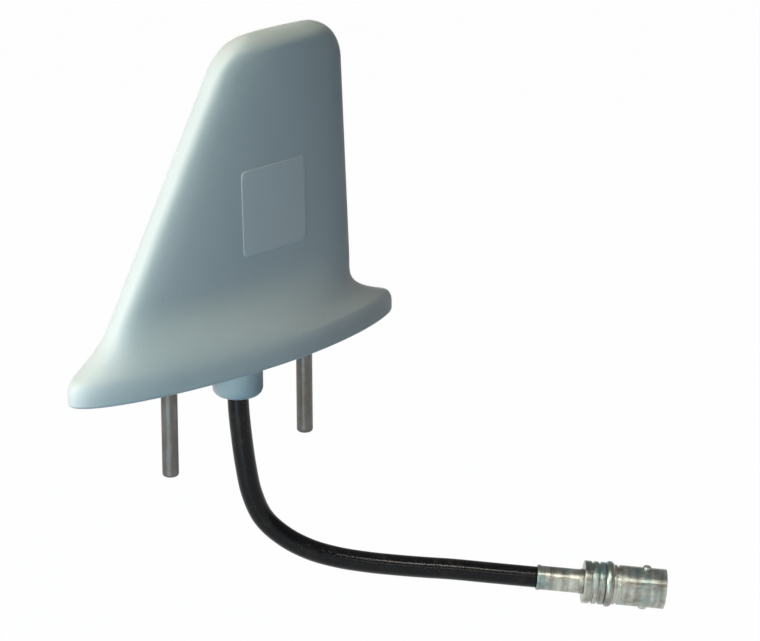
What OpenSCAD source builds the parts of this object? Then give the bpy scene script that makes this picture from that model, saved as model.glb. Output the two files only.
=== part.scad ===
// Aircraft blade antenna: a moulded radome on a two-stud base, fed by a coaxial pigtail.
// Frame: +Z away from the aircraft skin, nose towards -X, millimetres.
// The origin is on the mounting face, at the axis of the cable boss, midway between the studs.

/* [Base] */
// Length of the base from nose to tail
base_len = 104.9; // [90:0.1:130]
// Distance from the boss axis forward to the nose
nose_reach = 52.8; // [48:0.1:70]
// Greatest width of the base
base_w = 25.2; // [20:0.1:40]
// Height of the rim above the mounting face
rim_h = 6.1; // [5:0.1:12]
// Radius of the rim's upper edge at the nose
nose_edge_r = 4.4; // [2:0.1:4.6]
// Radius of the rim's upper edge at the tail
tail_edge_r = 3.7; // [2:0.1:4]
// Radius of the rim's lower edge
foot_edge_r = 0.8; // [0.3:0.1:1]
// Sharpness of the plan outline at the nose, where 1 is an ellipse
nose_sharpness = 1.05; // [0.8:0.05:1.5]
// Sharpness of the plan outline at the tail, where 1 is an ellipse
tail_sharpness = 1.7; // [1:0.05:2.2]
// Width of the tail's blunt end
tail_end_w = 3.2; // [1:0.1:6]

/* [Blade] */
// Height of the blade's tip above the mounting face
blade_h = 79; // [60:0.1:120]
// Distance ahead of the boss axis where the leading edge line meets the mounting face
le_reach = 48.9; // [40:0.1:60]
// Sweep of the leading edge from upright, in degrees
le_sweep = 30.4; // [15:0.1:35]
// Distance behind the boss axis where the trailing edge line meets the mounting face
te_reach = 37.6; // [30:0.1:46]
// Forward lean of the trailing edge, in degrees
te_lean = 2.8; // [0:0.1:6]
// Blade thickness at the mounting face
root_t = 13; // [10:0.1:18]
// Blade thickness at the tip
tip_t = 9.8; // [7:0.1:14]
// Sharpness of the blade's section at the leading edge, where 1 is an ellipse
le_sharpness = 0.6; // [0.5:0.05:1.2]
// Sharpness of the blade's section at the trailing edge, where 1 is an ellipse
te_sharpness = 0.7; // [0.5:0.05:1.2]
// Width of the trailing edge's blunt end
te_end_w = 2; // [1:0.1:4]
// Radius of the upper front corner
front_corner_r = 16.8; // [8:0.1:24]
// Radius of the upper rear corner
rear_corner_r = 11.2; // [6:0.1:20]
// Height over which the tip rounds over
tip_round_h = 3.5; // [2:0.1:8]
// Height of the blend from blade to rim at the nose
nose_blend_h = 9.7; // [6:0.1:16]
// Height at which the flanks start to draw in from the rim
flank_start = 3.2; // [1:0.1:5]
// Height of the blend from rim to blade along the flanks
flank_blend_h = 19; // [12:0.1:26]
// Height of the blend from blade to rim at the tail
tail_blend_h = 10.2; // [4:0.1:14]

/* [Radome shell] */
// Wall along the blade's flanks
side_wall = 2; // [1.2:0.1:3]
// Wall behind the leading edge
le_wall = 3.5; // [3:0.1:8]
// Wall ahead of the trailing edge
te_wall = 8.5; // [6:0.1:14]
// Wall under the tip
tip_wall = 5; // [3:0.1:8]
// Height over which the pocket rounds over under the tip
pocket_round_h = 8; // [4:0.1:12]
// Rim left around the base plate at the sides
side_lip = 3.3; // [2:0.1:4]
// Rim left around the base plate at the nose
nose_lip = 3.5; // [2:0.1:6]
// Rim left around the base plate at the tail
tail_lip = 9; // [6:0.1:14]

/* [Base plate and studs] */
// Thickness of the base plate
plate_t = 3; // [2:0.1:4]
// Gap between the base plate and the radome's recess
plate_gap = 0.15; // [0.05:0.05:0.3]
// Distance between the two studs
stud_spacing = 44.45; // [38:0.05:54]
// Diameter of the studs
stud_d = 4; // [3:0.01:5]
// Length of the studs below the mounting face
stud_len = 24.7; // [12:0.1:40]
// Chamfer at the stud's end
stud_chamfer = 0.8; // [0.3:0.1:1.2]
// Diameter of the stud's head
stud_head_d = 7.4; // [6:0.1:9]
// Height of the stud's head
stud_head_h = 1.2; // [0.8:0.1:1.6]
// Step from the stud's shank out to its seat in the base plate
stud_seat_step = 0.4; // [0.2:0.05:0.5]
// Gap around each stud in its hole
stud_gap = 0.05; // [0.02:0.01:0.15]

/* [Cable boss and grounding] */
// Diameter of the cable boss
boss_d = 12.3; // [11:0.1:16]
// Length of the cable boss below the mounting face
boss_h = 9.6; // [5:0.1:16]
// Radius of the boss's lower edge
boss_edge_r = 2.2; // [0.5:0.1:3]
// Diameter of the boss's neck in the base plate
neck_d = 9; // [8:0.1:10]
// Gap around the neck in the base plate
neck_gap = 0.1; // [0.02:0.01:0.2]
// Gap around the cable in the boss
cable_gap = 0.1; // [0.05:0.01:0.2]
// Length of the grounding lug
lug_len = 16; // [14:0.1:18]
// Width of the grounding lug
lug_w = 7.6; // [7:0.1:8]
// Thickness of the grounding lug
lug_t = 0.8; // [0.5:0.1:1.2]

/* [Radiating element] */
// Thickness of the sheet element
element_t = 0.8; // [0.4:0.1:1]
// Height of the element's lower edge above the mounting face
element_z = 13; // [11:0.1:18]
// Gap between the element and the pocket's front and rear ends
element_inset = 5; // [4:0.1:8]
// Gap between the element and the pocket's top
element_top_gap = 6; // [5:0.1:10]
// Corner radius of the element
element_corner_r = 4; // [2:0.1:8]
// Width of the feed tab
tab_w = 5; // [4:0.1:8]
// Drop of the feed tab below the element's lower edge
tab_drop = 2.5; // [2:0.1:4]
// Distance between the two element supports
support_spacing = 36; // [30:0.1:38]
// Distance of the supports' middle ahead of the boss axis
support_shift = 5; // [2:0.1:8]
// Length of a support
support_len = 8; // [5:0.1:10]
// Width of a support
support_w = 4.6; // [4:0.1:5]
// Depth of the slot that holds the element
slot_depth = 3; // [2:0.1:4]
// Gap between the element and the slot's sides
slot_gap = 0.05; // [0.02:0.01:0.1]

/* [Coaxial cable] */
// Diameter of the cable's jacket
cable_d = 5.2; // [4.8:0.1:6]
// Outer diameter of the braid
braid_d = 4.2; // [3.8:0.1:4.4]
// Diameter of the dielectric
dielectric_d = 2.95; // [2.5:0.05:3.2]
// Diameter of the centre conductor
conductor_d = 0.9; // [0.7:0.05:1]
// Length of braid left on the feed end
feed_braid_len = 1.5; // [1:0.1:2]
// Length of dielectric left on the feed end
feed_dielectric_len = 4.5; // [3:0.1:6]
// Heading of the cable's run, in degrees from the tail
cable_heading = -43.5; // [-90:0.5:0]

/* [Connector] */
// Length of the crimp ferrule
ferrule_len = 11.5; // [8:0.1:16]
// Diameter of the crimp ferrule
ferrule_d = 5.9; // [5.3:0.1:7]
// Width of the ferrule's raised ends
ferrule_lip_w = 0.9; // [0.5:0.1:1.5]
// Height of the ferrule's raised ends
ferrule_lip_h = 0.15; // [0.1:0.05:0.4]
// Outer diameter of the crimp stem
stem_d = 3.7; // [3.5:0.1:4]
// Length of the body's rear section
rear_len = 5.1; // [4:0.1:8]
// Diameter of the body's rear section
rear_d = 10.5; // [9.5:0.1:11]
// Length of the body's collar
collar_len = 2.3; // [2:0.1:5]
// Diameter of the body's collar
collar_d = 11.3; // [10.5:0.1:13]
// Length of the bayonet barrel
barrel_len = 12.9; // [12:0.1:18]
// Diameter of the bayonet barrel
barrel_d = 9.8; // [9.6:0.05:10]
// Diameter of the barrel's socket
socket_d = 8.1; // [8:0.05:8.2]
// Depth of the barrel's socket
socket_depth = 10; // [9:0.1:11]
// Span over the two bayonet pins
pin_span = 11.1; // [10.9:0.05:11.2]
// Diameter of a bayonet pin
pin_d = 2; // [1.8:0.05:2.1]
// Distance of the bayonet pins from the barrel's mouth
pin_setback = 5; // [4.5:0.1:6]
// Depth of the bayonet pins in the barrel's wall
pin_seat = 0.4; // [0.2:0.1:0.6]
// Width of the grooves turned into the body
groove_w = 0.6; // [0.3:0.1:1]
// Depth of the grooves turned into the body
groove_depth = 0.35; // [0.2:0.05:0.6]
// Diameter of the insulator's nose
insulator_d = 4.8; // [4.6:0.05:5]
// Thickness of the insulator's seat
insulator_seat_t = 2; // [1:0.1:3]
// Distance of the insulator's nose behind the barrel's mouth
insulator_setback = 1.6; // [1:0.1:3]
// Diameter of the socket contact
contact_d = 2.1; // [2:0.05:2.3]
// Bore of the socket contact
contact_bore_d = 1.35; // [1.3:0.05:1.5]
// Depth of the contact's bore
contact_bore_depth = 5; // [4:0.1:6]
// Distance of the contact's end behind the insulator's nose
contact_setback = 0.4; // [0.2:0.1:1]
// Length of the contact behind the socket's floor
contact_tail_len = 5; // [4:0.1:6]
// Width of the contact's slot
contact_slot_w = 0.3; // [0.2:0.05:0.4]
// Gap around parts pressed into the connector
press_gap = 0.03; // [0.01:0.01:0.06]

/* [Hidden] */
$fn = 64;

// Steps round half of a plan outline, sides of the cable, and steps between route points
half_steps = 36;
cable_sides = 12;
route_steps = 2;

// Ends of the base and of the base plate's recess
nose_x = -nose_reach;
tail_x = base_len - nose_reach;
recess_front = nose_x + nose_lip;
recess_rear = tail_x - tail_lip;
recess_half_w = base_w / 2 - side_lip;

// Widest points of the plan outlines, as a share of their length
base_crest = 0.5;
blade_crest = 0.42;

// Sharpness of the pocket's section at its front and rear ends, where 1 is an ellipse
pocket_front_sharpness = 1;
pocket_rear_sharpness = 1.45;

// Curves of the blends from blade to rim
end_blend_power = 3;
flank_blend_power = 3;

// Angles from upright at which the rim's rounded ends run into the blends
nose_edge_angle = 56;
tail_edge_angle = 75;

// Diameter of the stud's seat
stud_seat_d = stud_d + 2 * stud_seat_step;

// Places up the radome where its shape changes
blend_top = max(rim_h + nose_blend_h, rim_h + tail_blend_h, flank_start + flank_blend_h);
tip_start = blade_h - max(rear_corner_r, front_corner_r * (1 - sin(le_sweep)), tip_round_h);
pocket_top = blade_h - tip_wall;
pocket_round_start = pocket_top - pocket_round_h;
overcut = 1;

// Heights of the pieces at the feed
cable_top = plate_t + lug_t;
feed_braid_top = cable_top + feed_braid_len;
feed_dielectric_top = cable_top + feed_dielectric_len;
tab_bottom = element_z - tab_drop;
support_top = element_z + slot_depth;

// Stations along the connector, from the back of the ferrule
collar_start = ferrule_len + rear_len;
barrel_start = collar_start + collar_len;
mouth = barrel_start + barrel_len;
socket_floor = mouth - socket_depth;
insulator_end = mouth - insulator_setback;
contact_start = socket_floor - contact_tail_len;
contact_end = insulator_end - contact_setback;
stem_start = ferrule_lip_w;
pin_foot_r = barrel_d / 2 - pin_seat;

// The cable's route as distance along its heading and height, down out of the boss
// and round to a gently falling run that ends at the ferrule
route = [
    [0, cable_top], [0, -2], [0, -8], [0.15, -13.5], [0.7, -20], [1.6, -27.6], [3, -35], [5.8, -41.5],
    [10.9, -46.5], [17.1, -50], [23.7, -52.1], [30.5, -53.4], [37.5, -54.3], [44.5, -55], [51.6, -55.6],
    [58.6, -56.4], [65.5, -57.2], [72.5, -58]
];
cable_end = route[len(route) - 1];
cable_end_step = cable_end - route[len(route) - 2];
connector_rise = atan2(cable_end_step[1], cable_end_step[0]);

// Plan outline that runs round from its front end: rounded in front, drawn out to a blunt end at the rear
function outline(front, rear, half_w, front_power, rear_power, rear_half_w, crest) =
    let (mid = front + crest * (rear - front))
    [for (i = [0 : 2 * half_steps - 1])
        let (
            a = 180 * i / half_steps,
            c = cos(a),
            s = abs(sin(a)),
            x = c > 0 ? mid - c * (mid - front) : mid - c * (rear - mid),
            front_y = half_w * pow(s, front_power),
            rear_y = (half_w - rear_half_w) * pow(s, rear_power) + rear_half_w * sqrt(s)
        )
        [x, sign(sin(a)) * (c > 0 ? front_y : rear_y)]];

function mix(a, b, share) = a + (b - a) * share;

// Shares of the rim's outline that are left at a height: hollow at the ends, S-shaped along the flanks
function end_share(z, height) = pow(min(1, max(0, 1 - (z - rim_h) / height)), end_blend_power);
function flank_share(z) =
    let (up = min(1, max(0, z - flank_start) / flank_blend_h))
    pow(1 - up * up, flank_blend_power);

// Quarter-round fall from 1 to 0 over the last stretch below a top
function round_over(z, top, height) = sqrt(max(0, 1 - pow(max(0, z - top + height) / height, 2)));

// Blade edges at a height, with the upper corners rounded
function le_line(z) = z * tan(le_sweep) - le_reach;
function te_line(z) = te_reach - z * tan(te_lean);
function le_x(z) =
    let (
        centre_z = blade_h - front_corner_r,
        centre_x = le_line(centre_z) + front_corner_r / cos(le_sweep),
        up = z - centre_z
    )
    up > front_corner_r * sin(le_sweep)
        ? centre_x - sqrt(max(0, pow(front_corner_r, 2) - up * up))
        : le_line(z);
function te_x(z) =
    let (
        centre_z = blade_h - rear_corner_r,
        up = z - centre_z
    )
    up > 0
        ? te_line(centre_z) - rear_corner_r + sqrt(max(0, pow(rear_corner_r, 2) - up * up))
        : te_line(z);
function blade_half(z) = mix(root_t, tip_t, z / blade_h) / 2;

// How far the rim's rounded edges draw in at a height
function edge_rise(r, angle) = r * sin(angle);
function edge_inset(z, r, angle) =
    let (up = min(max(0, z - rim_h + edge_rise(r, angle)), edge_rise(r, angle)))
    r - sqrt(r * r - up * up);
function foot_inset(z) =
    let (down = max(0, foot_edge_r - z))
    foot_edge_r - sqrt(max(0, pow(foot_edge_r, 2) - down * down));

// Rings of the radome's outside, each as height and plan outline
function front_x(z) =
    let (rim_x = nose_x + edge_inset(z, nose_edge_r, nose_edge_angle))
    mix(le_x(z), min(le_x(z), rim_x), end_share(z, nose_blend_h)) + foot_inset(z);
function rear_x(z) =
    let (rim_x = tail_x - edge_inset(z, tail_edge_r, tail_edge_angle))
    mix(te_x(z), rim_x, end_share(z, tail_blend_h)) - foot_inset(z);
function outer_ring(z) =
    let (
        rim_share = flank_share(z),
        tip_share = round_over(z, blade_h, tip_round_h),
        half_w = mix(blade_half(z), base_w / 2, rim_share) * tip_share - foot_inset(z),
        rear_half_w = mix(te_end_w, tail_end_w, rim_share) / 2 * tip_share
    )
    [z, outline(front_x(z), rear_x(z), half_w, mix(le_sharpness, nose_sharpness, rim_share),
        mix(te_sharpness, tail_sharpness, rim_share), rear_half_w,
        mix(blade_crest, base_crest, rim_share))];

edge_h = max(edge_rise(nose_edge_r, nose_edge_angle), edge_rise(tail_edge_r, tail_edge_angle));
foot_angles = [90, 60, 30, 0];
edge_angles = [0 : 18 : 90];
blend_steps = 14;
blend_crowding = 1.6;
tip_angles = [each [0 : 9 : 81], 85, 89];
outer_rings = concat(
    [for (a = foot_angles) outer_ring(foot_edge_r * (1 - sin(a)))],
    [for (a = edge_angles) outer_ring(rim_h - edge_h * (1 - sin(a)))],
    [for (i = [1 : blend_steps]) outer_ring(mix(rim_h, blend_top, pow(i / blend_steps, blend_crowding)))],
    [for (a = tip_angles) outer_ring(blade_h - (blade_h - tip_start) * (1 - sin(a)))]
);

// Rings of the radome's inside: the base plate's recess, its ledge and the pocket above
function pocket_front(z) = le_x(z) + le_wall;
function pocket_rear(z) = te_x(z) - te_wall;
function pocket_ring(z) =
    let (top_share = round_over(z, pocket_top, pocket_round_h))
    [z, outline(pocket_front(z), pocket_rear(z), (blade_half(z) - side_wall) * top_share,
        pocket_front_sharpness, pocket_rear_sharpness, te_end_w / 2 * top_share, blade_crest)];
function recess_outline(gap) =
    outline(recess_front + gap, recess_rear - gap, recess_half_w - gap, nose_sharpness, tail_sharpness,
        tail_end_w / 2, base_crest);

pocket_angles = [each [0 : 15 : 75], 86];
inner_rings = concat(
    [[0, recess_outline(0)], [plate_t, recess_outline(0)], pocket_ring(plate_t)],
    [for (a = pocket_angles) pocket_ring(pocket_top - pocket_round_h * (1 - sin(a)))]
);

// Points of a stack of rings, and the triangles between them
function ring_points(rings) = [for (r = rings) for (p = r[1]) [p.x, p.y, r[0]]];
function turned(faces, flip) = flip ? [for (f = faces) [for (i = [len(f) - 1 : -1 : 0]) f[i]]] : faces;
function band_faces(low, high, n) =
    [for (i = [0 : n - 1])
        let (k = (i + 1) % n)
        each [[low + i, low + k, high + k], [low + i, high + k, high + i]]];
function skin_faces(first, count, n) =
    concat(
        [for (j = [0 : count - 2]) each band_faces(first + j * n, first + (j + 1) * n, n)],
        [[for (i = [0 : n - 1]) first + (count - 1) * n + i]]
    );

// Cup-shaped solid between an outer and an inner stack of rings, open at the bottom
module lofted_shell(outer, inner) {
    n = 2 * half_steps;
    inner_first = len(outer) * n;
    polyhedron(
        points = concat(ring_points(outer), ring_points(inner)),
        faces = concat(
            skin_faces(0, len(outer), n),
            turned(skin_faces(inner_first, len(inner), n), true),
            band_faces(inner_first, 0, n)
        ),
        convexity = 6
    );
}

module at_studs() {
    for (side = [-1, 1]) {
        translate([side * stud_spacing / 2, 0, 0]) children();
    }
}

// Places a turned piece on the connector's axis, with its +Z towards the mouth
module on_connector() {
    rotate([0, 0, cable_heading])
        translate([cable_end[0], 0, cable_end[1]])
            rotate([0, 90 - connector_rise, 0])
                children();
}

// Places a pin upright on each side of the barrel, with its foot sunk into the wall
module at_pins() {
    for (turn = [0, 180]) {
        translate([0, 0, mouth - pin_setback])
            rotate([0, 90, turn])
                translate([0, 0, pin_foot_r]) children();
    }
}

// Ring-shaped cut round a turned piece
module groove(station, d) {
    translate([0, 0, station]) {
        difference() {
            cylinder(d = d + 2 * overcut, h = groove_w);
            cylinder(d = d - 2 * groove_depth, h = groove_w);
        }
    }
}

module radome() {
    color([0.9, 0.91, 0.9])
        lofted_shell(outer_rings, inner_rings);
}

module base_plate() {
    color([0.75, 0.76, 0.78])
        difference() {
            linear_extrude(plate_t) polygon(recess_outline(plate_gap));
            at_studs() {
                translate([0, 0, -overcut])
                    cylinder(d = stud_seat_d + 2 * stud_gap, h = plate_t + 2 * overcut);
                translate([0, 0, plate_t - stud_head_h])
                    cylinder(d = stud_head_d + 2 * stud_gap, h = stud_head_h + overcut);
            }
            translate([0, 0, -overcut]) cylinder(d = neck_d + 2 * neck_gap, h = plate_t + 2 * overcut);
        }
}

module mounting_studs() {
    color([0.55, 0.56, 0.57])
        at_studs() {
            translate([0, 0, -stud_len])
                cylinder(d1 = stud_d - 2 * stud_chamfer, d2 = stud_d, h = stud_chamfer);
            translate([0, 0, stud_chamfer - stud_len]) cylinder(d = stud_d, h = stud_len - stud_chamfer);
            cylinder(d = stud_seat_d, h = plate_t - stud_head_h);
            translate([0, 0, plate_t - stud_head_h]) cylinder(d = stud_head_d, h = stud_head_h);
        }
}

module cable_boss() {
    color([0.86, 0.88, 0.88])
        difference() {
            union() {
                rotate_extrude()
                    polygon(concat(
                        [[0, 0], [0, -boss_h]],
                        [for (a = [0 : 15 : 90])
                            [boss_d / 2 - boss_edge_r * (1 - sin(a)), boss_edge_r * (1 - cos(a)) - boss_h]],
                        [[boss_d / 2, 0]]
                    ));
                cylinder(d = neck_d, h = plate_t);
            }
            translate([0, 0, -boss_h - overcut])
                cylinder(d = cable_d + 2 * cable_gap, h = boss_h + plate_t + 2 * overcut);
        }
}

module ground_lug() {
    color([0.8, 0.66, 0.35])
        translate([0, 0, plate_t])
            difference() {
                union() {
                    translate([-(lug_len - lug_w) / 2, -lug_w / 2, 0])
                        cube([lug_len - lug_w, lug_w, lug_t]);
                    for (side = [-1, 1]) {
                        translate([side * (lug_len - lug_w) / 2, 0, 0]) cylinder(d = lug_w, h = lug_t);
                    }
                }
                translate([0, 0, -overcut])
                    cylinder(d = cable_d + 2 * cable_gap, h = lug_t + 2 * overcut);
            }
}

module feed_braid() {
    color([0.72, 0.7, 0.66])
        translate([0, 0, cable_top])
            difference() {
                cylinder(d = braid_d, h = feed_braid_len);
                translate([0, 0, -overcut])
                    cylinder(d = dielectric_d + 2 * press_gap, h = feed_braid_len + 2 * overcut);
            }
}

module feed_dielectric() {
    color([0.92, 0.92, 0.88])
        translate([0, 0, cable_top])
            difference() {
                cylinder(d = dielectric_d, h = feed_dielectric_len);
                translate([0, 0, -overcut])
                    cylinder(d = conductor_d + 2 * press_gap, h = feed_dielectric_len + 2 * overcut);
            }
}

module feed_conductor() {
    color([0.8, 0.5, 0.32])
        translate([0, 0, cable_top])
            cylinder(d = conductor_d, h = element_z - cable_top);
}

module element_supports() {
    color([0.7, 0.6, 0.42])
        for (side = [-1, 1]) {
            translate([side * support_spacing / 2 - support_shift - support_len / 2, 0, plate_t])
                difference() {
                    translate([0, -support_w / 2, 0]) cube([support_len, support_w, support_top - plate_t]);
                    translate([-overcut, -element_t / 2 - slot_gap, element_z - plate_t])
                        cube([support_len + 2 * overcut, element_t + 2 * slot_gap, slot_depth + overcut]);
                }
        }
}

// Side view of the element: parallel to the leading edge in front, with its corners rounded
module element_profile() {
    top = pocket_top - element_top_gap;
    r = element_corner_r;
    low_front = pocket_front(element_z) + element_inset;
    low_rear = pocket_rear(element_z) - element_inset;
    high_front = low_front + (top - element_z) * tan(le_sweep);
    high_rear = low_rear - (top - element_z) * tan(te_lean);
    offset(r = r) offset(delta = -r)
        polygon([[low_front, element_z], [low_rear, element_z], [high_rear, top], [high_front, top]]);
    translate([-tab_w / 2, tab_bottom]) square([tab_w, element_z + r - tab_bottom]);
}

module radiating_element() {
    color([0.83, 0.68, 0.33])
        translate([0, element_t / 2, 0])
            rotate([90, 0, 0])
                linear_extrude(element_t)
                    difference() {
                        element_profile();
                        translate([-conductor_d / 2 - press_gap, tab_bottom - overcut])
                            square([conductor_d + 2 * press_gap, tab_drop + overcut]);
                    }
}

// Smooth curve through the route's points, and its direction at each of them
function route_at(i) = route[min(max(i, 0), len(route) - 1)];
function spline(a, b, c, d, t) =
    (2 * b + (c - a) * t + (2 * a - 5 * b + 4 * c - d) * t * t + (3 * b - a - 3 * c + d) * t * t * t) / 2;
route_points = concat(
    [for (i = [0 : len(route) - 2]) for (k = [0 : route_steps - 1])
        spline(route_at(i - 1), route[i], route[i + 1], route_at(i + 2), k / route_steps)],
    [cable_end]
);
function route_angle(i) =
    let (
        last = len(route_points) - 1,
        first_step = route[1] - route[0],
        step = i == last ? cable_end_step : i == 0 ? first_step : route_points[i + 1] - route_points[i - 1]
    )
    atan2(step[1], step[0]);
function cable_ring(i) =
    let (
        p = route_points[i],
        a = route_angle(i)
    )
    [for (k = [0 : cable_sides - 1])
        let (
            turn = 360 * k / cable_sides,
            out = cable_d / 2 * cos(turn),
            across = cable_d / 2 * sin(turn)
        )
        [p[0] - out * sin(a), across, p[1] + out * cos(a)]];

module coax_cable() {
    n = cable_sides;
    count = len(route_points);
    color([0.07, 0.07, 0.08])
        rotate([0, 0, cable_heading])
            polyhedron(
                points = [for (i = [0 : count - 1]) each cable_ring(i)],
                faces = concat(
                    [[for (k = [n - 1 : -1 : 0]) k]],
                    skin_faces(0, count, n)
                ),
                convexity = 6
            );
}

module crimp_ferrule() {
    color([0.7, 0.69, 0.66])
        on_connector()
            difference() {
                union() {
                    cylinder(d = ferrule_d, h = ferrule_len);
                    for (station = [0, ferrule_len - ferrule_lip_w]) {
                        translate([0, 0, station])
                            cylinder(d = ferrule_d + 2 * ferrule_lip_h, h = ferrule_lip_w);
                    }
                }
                translate([0, 0, -overcut])
                    cylinder(d = braid_d + 2 * press_gap, h = ferrule_len + 2 * overcut);
            }
}

module connector_braid() {
    color([0.72, 0.7, 0.66])
        on_connector()
            translate([0, 0, stem_start])
                difference() {
                    cylinder(d = braid_d, h = ferrule_len - stem_start);
                    translate([0, 0, -overcut])
                        cylinder(d = stem_d + 2 * press_gap, h = ferrule_len - stem_start + 2 * overcut);
                }
}

module connector_dielectric() {
    color([0.92, 0.92, 0.88])
        on_connector()
            difference() {
                cylinder(d = dielectric_d, h = contact_start);
                translate([0, 0, -overcut])
                    cylinder(d = conductor_d + 2 * press_gap, h = contact_start + 2 * overcut);
            }
}

module connector_conductor() {
    color([0.8, 0.5, 0.32])
        on_connector()
            cylinder(d = conductor_d, h = contact_start + contact_tail_len / 2);
}

module connector_body() {
    color([0.68, 0.67, 0.64])
        on_connector()
            difference() {
                union() {
                    translate([0, 0, stem_start]) cylinder(d = stem_d, h = ferrule_len - stem_start);
                    translate([0, 0, ferrule_len]) cylinder(d = rear_d, h = rear_len);
                    translate([0, 0, collar_start]) cylinder(d = barrel_d, h = collar_len + barrel_len);
                    translate([0, 0, collar_start + collar_len / 2])
                        rotate_extrude()
                            translate([(collar_d - collar_len) / 2, 0]) circle(d = collar_len);
                }
                translate([0, 0, socket_floor]) cylinder(d = socket_d, h = socket_depth + overcut);
                translate([0, 0, -overcut]) cylinder(d = dielectric_d + 2 * press_gap, h = mouth);
                for (station = [ferrule_len + rear_len / 3, ferrule_len + 2 * rear_len / 3]) {
                    groove(station, rear_d);
                }
                groove(barrel_start + groove_w, barrel_d);
                at_pins() cylinder(d = pin_d + 2 * press_gap, h = collar_d);
            }
}

module bayonet_pins() {
    color([0.68, 0.67, 0.64])
        on_connector()
            at_pins() cylinder(d = pin_d, h = pin_span / 2 - pin_foot_r);
}

module connector_insulator() {
    color([0.93, 0.93, 0.9])
        on_connector()
            difference() {
                union() {
                    translate([0, 0, socket_floor])
                        cylinder(d = socket_d - 2 * press_gap, h = insulator_seat_t);
                    translate([0, 0, socket_floor])
                        cylinder(d = insulator_d, h = insulator_end - socket_floor);
                }
                translate([0, 0, socket_floor - overcut])
                    cylinder(d = contact_d + 2 * press_gap, h = insulator_end - socket_floor + 2 * overcut);
            }
}

module socket_contact() {
    color([0.86, 0.7, 0.36])
        on_connector()
            difference() {
                translate([0, 0, contact_start]) cylinder(d = contact_d, h = contact_end - contact_start);
                translate([0, 0, contact_end - contact_bore_depth])
                    cylinder(d = contact_bore_d, h = contact_bore_depth + overcut);
                translate([-contact_slot_w / 2, -contact_d, contact_end - contact_bore_depth])
                    cube([contact_slot_w, 2 * contact_d, contact_bore_depth + overcut]);
                translate([0, 0, contact_start - overcut])
                    cylinder(d = conductor_d + 2 * press_gap, h = contact_tail_len / 2 + overcut);
            }
}

radome();
base_plate();
mounting_studs();
cable_boss();
ground_lug();
feed_braid();
feed_dielectric();
feed_conductor();
element_supports();
radiating_element();
coax_cable();
crimp_ferrule();
connector_braid();
connector_dielectric();
connector_conductor();
connector_body();
bayonet_pins();
connector_insulator();
socket_contact();
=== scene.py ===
import math

import bpy
from mathutils import Matrix, Vector


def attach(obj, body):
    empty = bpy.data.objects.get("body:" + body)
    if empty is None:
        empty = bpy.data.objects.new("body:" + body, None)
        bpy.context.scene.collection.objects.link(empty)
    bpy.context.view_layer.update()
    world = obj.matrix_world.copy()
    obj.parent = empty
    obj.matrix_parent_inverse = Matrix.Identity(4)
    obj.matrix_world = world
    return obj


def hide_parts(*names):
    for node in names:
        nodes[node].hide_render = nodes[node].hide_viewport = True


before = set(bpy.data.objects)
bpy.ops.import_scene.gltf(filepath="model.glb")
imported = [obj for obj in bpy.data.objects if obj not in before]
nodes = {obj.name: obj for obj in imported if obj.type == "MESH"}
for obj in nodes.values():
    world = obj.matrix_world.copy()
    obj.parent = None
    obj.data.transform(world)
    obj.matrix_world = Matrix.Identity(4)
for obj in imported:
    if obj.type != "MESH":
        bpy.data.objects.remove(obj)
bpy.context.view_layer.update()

MM = 0.001

# The photograph's view, in its frame of 760 by 641 pixels
IMAGE_W_PX = 760
FOCAL_PX = 4151
SENSOR_MM = 36
VIEW_AZIMUTH_DEG = 44.77
VIEW_ELEVATION_DEG = 18.21
VIEW_ROLL_DEG = 0.25
VIEW_AIM = Vector((26.3, -22.3, 8.1)) * MM
VIEW_DISTANCE = 0.999

# Cable: distance along its heading and height, in millimetres, from the boss round to the ferrule
CABLE_ROUTE_MM = [
    (0, 3.8), (0, -2), (0, -8), (0.15, -13.5), (0.7, -20), (1.6, -27.6), (3, -35), (5.8, -41.5),
    (10.9, -46.5), (17.1, -50), (23.7, -52.1), (30.5, -53.4), (37.5, -54.3), (44.5, -55), (51.6, -55.6),
    (58.6, -56.4), (65.5, -57.2), (72.5, -58),
]
CABLE_HEADING = math.radians(-43.5)
CABLE_D = 5.2
CABLE_STEPS = 9
CABLE_SIDES = 40

# Base and blade of the radome, in millimetres
BASE_LEN = 104.9
NOSE_REACH = 52.8
BASE_W = 25.2
RIM_H = 6.1
NOSE_EDGE_R = 4.4
TAIL_EDGE_R = 3.7
NOSE_EDGE_ANGLE = math.radians(56)
TAIL_EDGE_ANGLE = math.radians(75)
NOSE_SHARPNESS = 1.05
TAIL_SHARPNESS = 1.7
TAIL_END_W = 3.2
BLADE_H = 79
LE_REACH = 48.9
LE_SWEEP = math.radians(30.4)
TE_REACH = 37.6
TE_LEAN = math.radians(2.8)
ROOT_T = 13
TIP_T = 9.8
LE_SHARPNESS = 0.6
TE_SHARPNESS = 0.7
TE_END_W = 2
FRONT_CORNER_R = 16.8
REAR_CORNER_R = 11.2
TIP_ROUND_H = 3.5
NOSE_BLEND_H = 9.7
FLANK_START = 3.2
FLANK_BLEND_H = 19
TAIL_BLEND_H = 10.2
END_BLEND_POWER = 3
FLANK_BLEND_POWER = 3
BASE_CREST = 0.5
BLADE_CREST = 0.42
FOOT_EDGE_R = 0.8
SIDE_LIP = 3.3
NOSE_LIP = 3.5
TAIL_LIP = 9
PLATE_T = 3
OUTLINE_HALF_STEPS = 110
EDGE_STEPS = 8
WALL_STEPS = 4
BLEND_STEPS = 40
BLEND_BUNCHING = 1.4
BLADE_STEPS = 22
TIP_ANGLES_DEG = [*range(0, 88, 3), 88.3, 89.4]

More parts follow.
